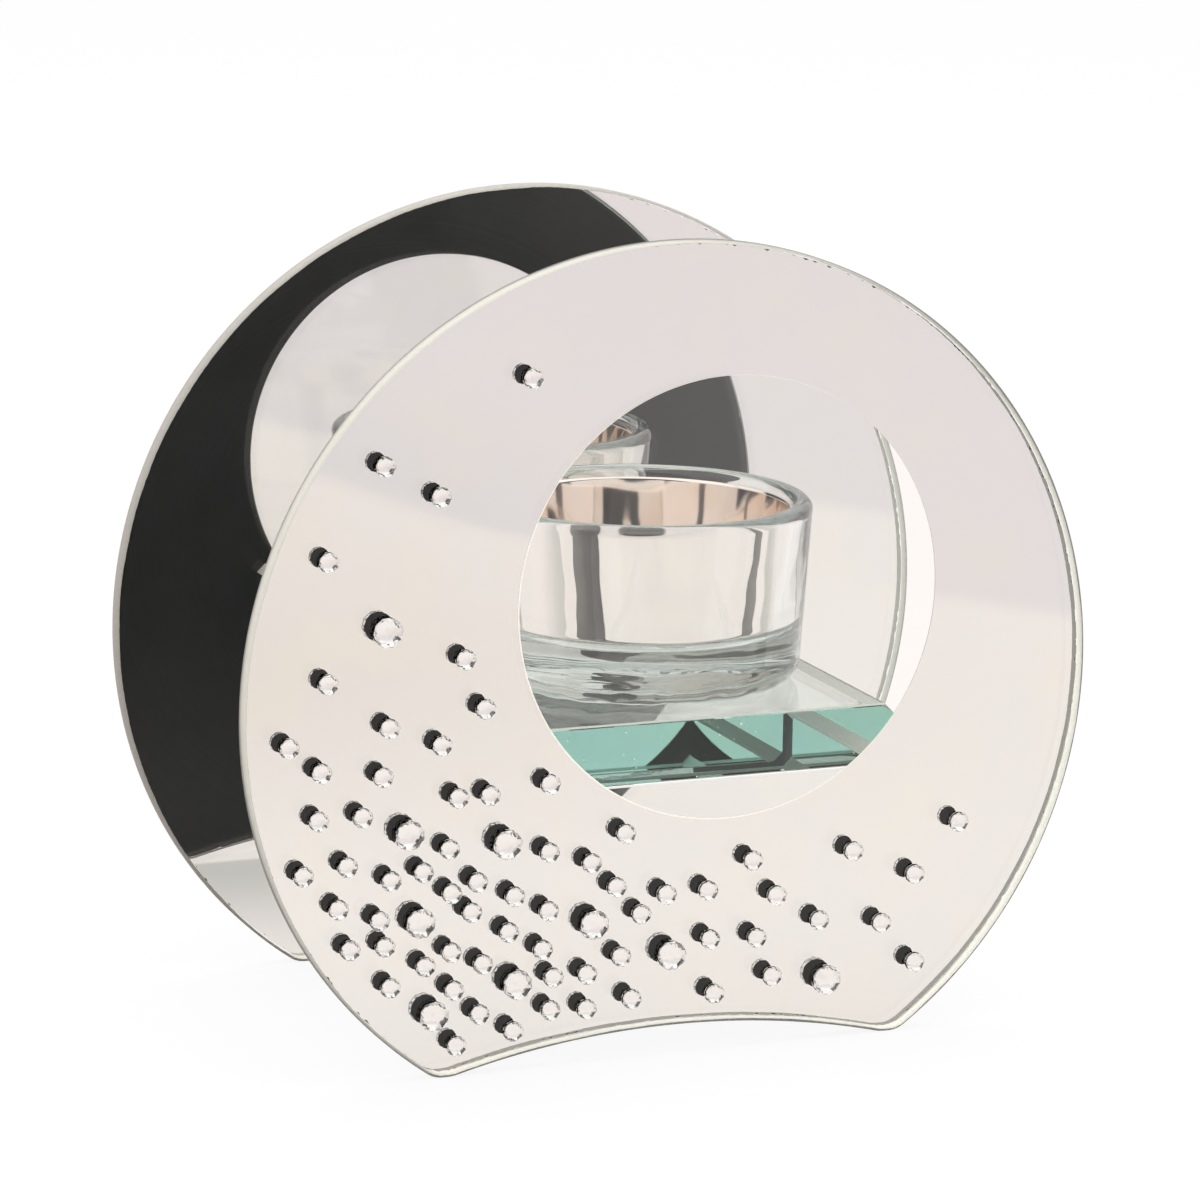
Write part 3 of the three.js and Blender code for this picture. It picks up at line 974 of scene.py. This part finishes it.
def cup_inside(top, inset):
    """The inner wall from a height down to the middle of the floor, moved in by an inset."""
    lip_inner = Vector((CUP_RIM_RADIUS - 2 * CUP_LIP_RADIUS, CUP_HEIGHT - CUP_LIP_RADIUS))
    fillet_centre = Vector((CUP_FLOOR_RADIUS - CUP_FLOOR_FILLET, CUP_FLOOR_HEIGHT + CUP_FLOOR_FILLET))
    wall_foot = Vector((CUP_FLOOR_RADIUS, fillet_centre.y))
    share = (top - wall_foot.y) / (lip_inner.y - wall_foot.y)
    start = wall_foot.lerp(lip_inner, share) - Vector((inset, 0))
    end = wall_foot - Vector((inset, 0))
    points = [start.lerp(end, t) for t in [0, FIRST_STEP] + [i / 10 for i in range(1, 10)]]
    points += arc(fillet_centre, CUP_FLOOR_FILLET - inset, 0, -math.pi / 2, 12)
    points += [points[-1].lerp(Vector((0, CUP_FLOOR_HEIGHT + inset)), i / 8) for i in range(1, 8)]
    return points + [Vector((0, CUP_FLOOR_HEIGHT + inset))]


print("cup height", round(CUP_HEIGHT / MM, 2), "rim radius", round(CUP_RIM_RADIUS / MM, 2))

# %% [markdown]
# Each profile point becomes a ring, and a point on the axis becomes one vertex. A small wave,
# different round the cup and up it, stands for the mould's touch. It is a few hundredths of a
# millimetre on the wall, and a third of a millimetre at most in the thick base, where it makes the
# highlights wander. The lining is silver twice over: bright where it lies on the glass, and warmer on
# its bare side. The first step down the inner wall is short, so that the smooth shading round the
# lining's top edge, which shows as a dark mark under the rim, stays narrow.

# %% Cup and lining
CUP_SIDES = 224
WALL_WAVE = 0.05 * MM
FLOOR_WAVE = 0.35 * MM


def mould_wave(spot, height):
    """How far the mould's touch moves a point outwards and upwards."""
    seed = Vector((spot.x * 130, spot.y * 130, height * 210))
    low_down = 1 - min(1, height / (CUP_FLOOR_HEIGHT + CUP_FLOOR_FILLET))
    upwards = FLOOR_WAVE * low_down * noise.noise(seed * 2.4)
    return WALL_WAVE * noise.noise(seed), max(upwards, -height)


def turned(name, materials, profile, centre, second_from=math.inf):
    """The faces have the second material from one ring of the profile on."""
    bm = bmesh.new()
    rings = []
    for point in profile:
        if abs(point.x) < 1e-9:
            rings.append([bm.verts.new((centre.x, centre.y, centre.z + point.y))])
            continue
        ring = []
        for i in range(CUP_SIDES):
            turn = 2 * math.pi * i / CUP_SIDES
            around = Vector((math.cos(turn), math.sin(turn), 0))
            spot = around * point.x
            outwards, upwards = mould_wave(spot, point.y)
            height = Vector((0, 0, point.y + upwards))
            ring.append(bm.verts.new(centre + spot + around * outwards + height))
        rings.append(ring)
    for k, (lower, upper) in enumerate(zip(rings, rings[1:] + rings[:1])):
        if len(lower) > 1 or len(upper) > 1:
            add_band(bm, lower, upper, int(k >= second_from), smooth=True)
    return finish_piece(name, bm, *materials)


CUP_FOOT = Vector((CUP_CENTRE.x, CUP_CENTRE.y, cup_low.z))
cup_silver = silver_finish("cup_silver", (0.93, 0.895, 0.865, 1), (0.95, 0.91, 0.875, 1), 0.03, 140.0)
bare_silver = silver_finish("bare_silver", (0.9, 0.82, 0.76, 1), (0.9, 0.78, 0.69, 1), 0.06, 140.0)
lining_top = CUP_HEIGHT - LINING_BELOW_RIM
lining_outer = cup_inside(lining_top, COAT_GAP)
lining_inner = cup_inside(lining_top, COAT_GAP + LINING_THICKNESS)
cup_wall = cup_outside() + cup_inside(CUP_HEIGHT - CUP_LIP_RADIUS, 0.0)[1:]
lining_wall = lining_outer + lining_inner[::-1]
silvers = (cup_silver, bare_silver)
cup = turned("tealight_glass_cup", [cup_glass], cup_wall, CUP_FOOT)
lining = turned("cup_silver_skin", silvers, lining_wall, CUP_FOOT, len(lining_outer))
for piece in (cup, lining):
    print(piece.name, len(piece.data.polygons), "faces, open edges:", flaws(piece))

# %% [markdown]
# The crystals are flat-backed glass stones. Each has a table on top, two rows of ten facets that fall
# to a girdle a little wider than its back, and a silver foil on its back, whose own back is dark. The
# stones catch the light because the foil throws it back through the facets, so the foil has to be
# there: a single shiny bead would look like a pearl. The slopes matter too: facets this steep send
# light back to where it came from, so one of them shows the dark camera. Each stone is turned by its
# own seeded angle.

# %% Crystals
FOIL_THICKNESS = 0.1 * MM
GLUE_WAVER = 0.05
GLUE_STEPS = 40
GIRDLE_SHARE = 1.12
GIRDLE_BAND = 0.12 * MM
SHOULDER_SHARE = 0.55
TABLE_SHARE = 0.35
CROWN_SLOPE = math.tan(math.radians(34))
TABLE_SLOPE = math.tan(math.radians(18))
STONE_SIDES = 10
STONE_SEED = 5


def back_finish(name, grain, colours, roughness, more):
    """grain is the scale and the detail of the pattern, and more holds what only one finish sets."""
    material, tree = new_material(name)
    pattern = mottle(tree, object_place(tree), *grain)
    shader = node(tree, "ShaderNodeBsdfPrincipled", {
        "Base Color": blend_colour(tree, pattern, *colours),
        "Roughness": remap(tree, pattern, 0.3, 0.7, *roughness),
        **more,
    })
    finish_material(tree, shader.outputs[0])
    return material


foil_colours = (grey(0.87), (0.92, 0.91, 0.9, 1))
dark_colours = (grey(0.002), (0.007, 0.007, 0.006, 1))
stone_finishes = (
    glass_finish("crystal_glass", 1.56, grey(0.9), 0.5, grey(0.9), (300.0, 0.0001 * MM)),
    back_finish("crystal_foil", (1400.0, 2.0), foil_colours, (0.03, 0.1), {"Metallic": 1.0}),
    back_finish(
        "crystal_dark_back_and_painted_outline", (2200.0, 3.0), dark_colours, (0.35, 0.6), {"Specular IOR Level": 0.1},
    ),
)


def add_ring(bm, centre, radius, depth, turn, steps):
    """A ring of vertices facing the front, at a depth in front of the centre."""
    ring = []
    for i in range(steps):
        angle = turn + 2 * math.pi * i / steps
        ring.append(bm.verts.new((
            centre.x + radius * math.cos(angle), centre.y - depth, centre.z + radius * math.sin(angle),
        )))
    return ring


def make_stone(name, centre, radius, height, dice):
    """centre is the middle of the stone's flat back."""
    bm = bmesh.new()
    turn = dice.uniform(0, math.pi)
    front = centre - Vector((0, FOIL_THICKNESS, 0))
    top = height - FOIL_THICKNESS
    middle = top - radius * (SHOULDER_SHARE - TABLE_SHARE) * TABLE_SLOPE
    low = middle - radius * (GIRDLE_SHARE - SHOULDER_SHARE) * CROWN_SLOPE
    steps = (
        (1, 0), (GIRDLE_SHARE, low - GIRDLE_BAND), (GIRDLE_SHARE, low),
        (SHOULDER_SHARE, middle), (TABLE_SHARE, top),
    )
    rings = [add_ring(bm, front, radius * share, depth, turn, STONE_SIDES) for share, depth in steps]
    back_ring, table = rings[0], rings[-1]
    # The girdle band takes the dark finish: a painted dark outline round the stone.
    for lower, upper, slot in zip(rings, rings[1:], (0, 2, 0, 0)):
        add_band(bm, lower, upper, slot)
    bm.faces.new(table).material_index = 0
    bm.faces.new(list(reversed(back_ring))).material_index = 1
    # The glue disc is dark: the dark back under the foil is real, and its rim past the stone is a
    # painted dark outline.
    glue_back = add_ring(bm, centre, radius * GLUE_SPREAD, 0, turn, GLUE_STEPS)
    glue_front = add_ring(bm, centre, radius, FOIL_THICKNESS * 0.9, turn, GLUE_STEPS)
    for vertex in glue_back:
        vertex.co = centre + (vertex.co - centre) * (1 + GLUE_WAVER * dice.uniform(-1, 0.4))
    add_band(bm, glue_back, glue_front, 2)
    bm.faces.new(glue_front).material_index = 2
    bm.faces.new(list(reversed(glue_back))).material_index = 2
    return finish_piece(name, bm, *stone_finishes)


stone_dice = random.Random(STONE_SEED)
stones = {}
for name, seat in stone_seats.items():
    stones[name] = make_stone(name.replace("crystal", "stone"), *seat, stone_dice)
sample = stones["small_crystal_01"]
print(len(stones), "stones; one has", len(sample.data.polygons), "faces, open edges:", flaws(sample))

# %% [markdown]
# Last, each piece rides on a body of the frame, and the node it stands for is hidden. The table also
# names the record's slot for its finish, which is not used here. The cup and its lining ride on the cup
# body, so they lift off the shelf together.

# %% Hand over
PIECES = [
    (front_pane, "holder", "pane_glass", "front_glass_pane"),
    (front_silver, "holder", "mirror_silver", "front_silver_coat"),
    (front_paint, "holder", "black_paint", "front_black_paint"),
    (rear_pane, "holder", "pane_glass", "rear_glass_pane"),
    (rear_silver, "holder", "mirror_silver", "rear_silver_coat"),
    (rear_paint, "holder", "black_paint", "rear_black_paint"),
    (shelf, "holder", "shelf_glass", "shelf_block"),
    (front_film, "holder", "clear_adhesive", "front_bond_film"),
    (rear_film, "holder", "clear_adhesive", "rear_bond_film"),
    (cup, "cup", "cup_glass", "tealight_cup"),
    (lining, "cup", "cup_silver", "cup_silver_lining"),
]
for piece, body, slot, node_name in PIECES:
    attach(piece, body)
    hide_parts(node_name)
for name, stone in stones.items():
    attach(stone, "holder")
    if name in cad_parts:
        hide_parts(name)
